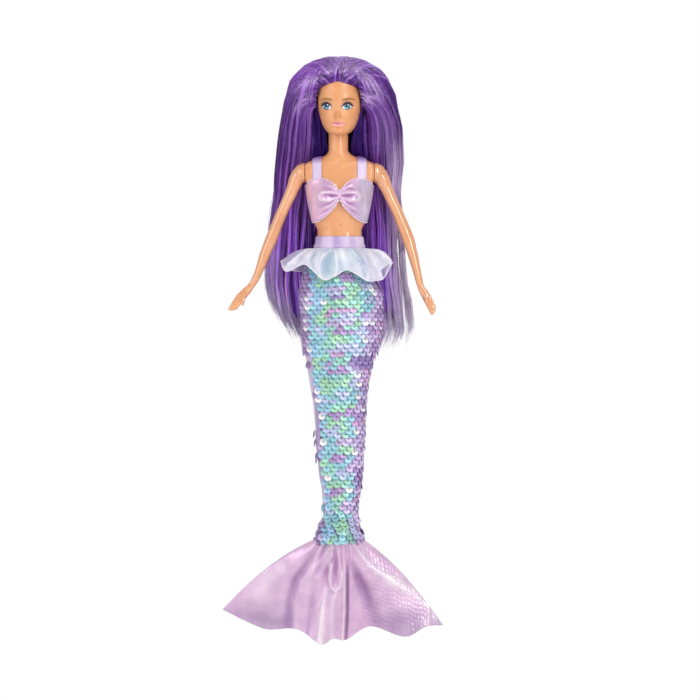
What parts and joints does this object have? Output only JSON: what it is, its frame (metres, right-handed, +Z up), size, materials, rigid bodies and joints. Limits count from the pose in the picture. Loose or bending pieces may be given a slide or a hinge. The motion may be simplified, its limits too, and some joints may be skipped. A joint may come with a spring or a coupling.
{
  "type": "mermaid doll",
  "caption": "Jointed fashion doll dressed as a mermaid: sequinned tail sleeve with a metallic fin, organza ruffle, gathered bodice and long two-tone hair.",
  "frame": {"origin": "middle of the waist, where the clip of a doll stand holds the doll", "axes": "+Z up through the head, the doll faces -Y, +X is to the doll's own left"},
  "size_m": [0.1364, 0.0498, 0.3642],
  "materials": {
    "skin": "satin tan vinyl with printed eyes, brows and lips",
    "hard_plastic": "unpainted moulded plastic",
    "hair": "long shiny doll-hair fibre, deep purple to pale lavender",
    "metallic_cloth": "thin pink metallic knit with gathers",
    "satin": "lilac satin",
    "hook_loop": "soft hook-and-loop tape",
    "organza": "sheer white organza with a rolled hem",
    "sequins": "lilac satin covered in overlapping dished sequins, mint to lavender",
    "lame": "metallic lilac lame"
  },
  "bodies": {
    "torso": {"torso_front": "skin", "torso_back": "skin", "neck_knob": "hard_plastic", "hip_pin": "hard_plastic", "bodice_cup_left": "metallic_cloth", "bodice_cup_right": "metallic_cloth", "bodice_knot": "metallic_cloth", "bodice_back": "metallic_cloth", "bodice_closure": "hook_loop", "strap_left": "satin", "strap_right": "satin", "waistband": "satin", "organza_ruffle": "organza", "hair_back_fall": "hair", "hair_left_fall": "hair", "hair_right_fall": "hair"},
    "head": {"head_shell": "skin", "hair_crown": "hair"},
    "arm_left": {"arm_left": "skin"},
    "arm_right": {"arm_right": "skin"},
    "tail": {"leg_left": "skin", "leg_right": "skin", "tail_sleeve": "sequins", "fluke_front": "lame", "fluke_back": "lame"}
  },
  "joints": [
    {"name": "head_turn", "type": "hinge", "parent": "torso", "child": "head", "pos_m": [0, 0.0015, 0.064], "axis": [0, 0, 1], "range_deg": [-75, 75], "deforming": ["hair_crown"]},
    {"name": "shoulder_left", "type": "hinge", "parent": "torso", "child": "arm_left", "pos_m": [0.0216, 0, 0.0394], "axis": [-1, 0, 0], "range_deg": [-5, 165]},
    {"name": "shoulder_right", "type": "hinge", "parent": "torso", "child": "arm_right", "pos_m": [-0.0216, 0, 0.0394], "axis": [-1, 0, 0], "range_deg": [-5, 165]},
    {"name": "hip_bend", "type": "hinge", "parent": "torso", "child": "tail", "pos_m": [0, -0.001, -0.038], "axis": [-1, 0, 0], "range_deg": [0, 85], "deforming": ["tail_sleeve", "organza_ruffle"]}
  ]
}
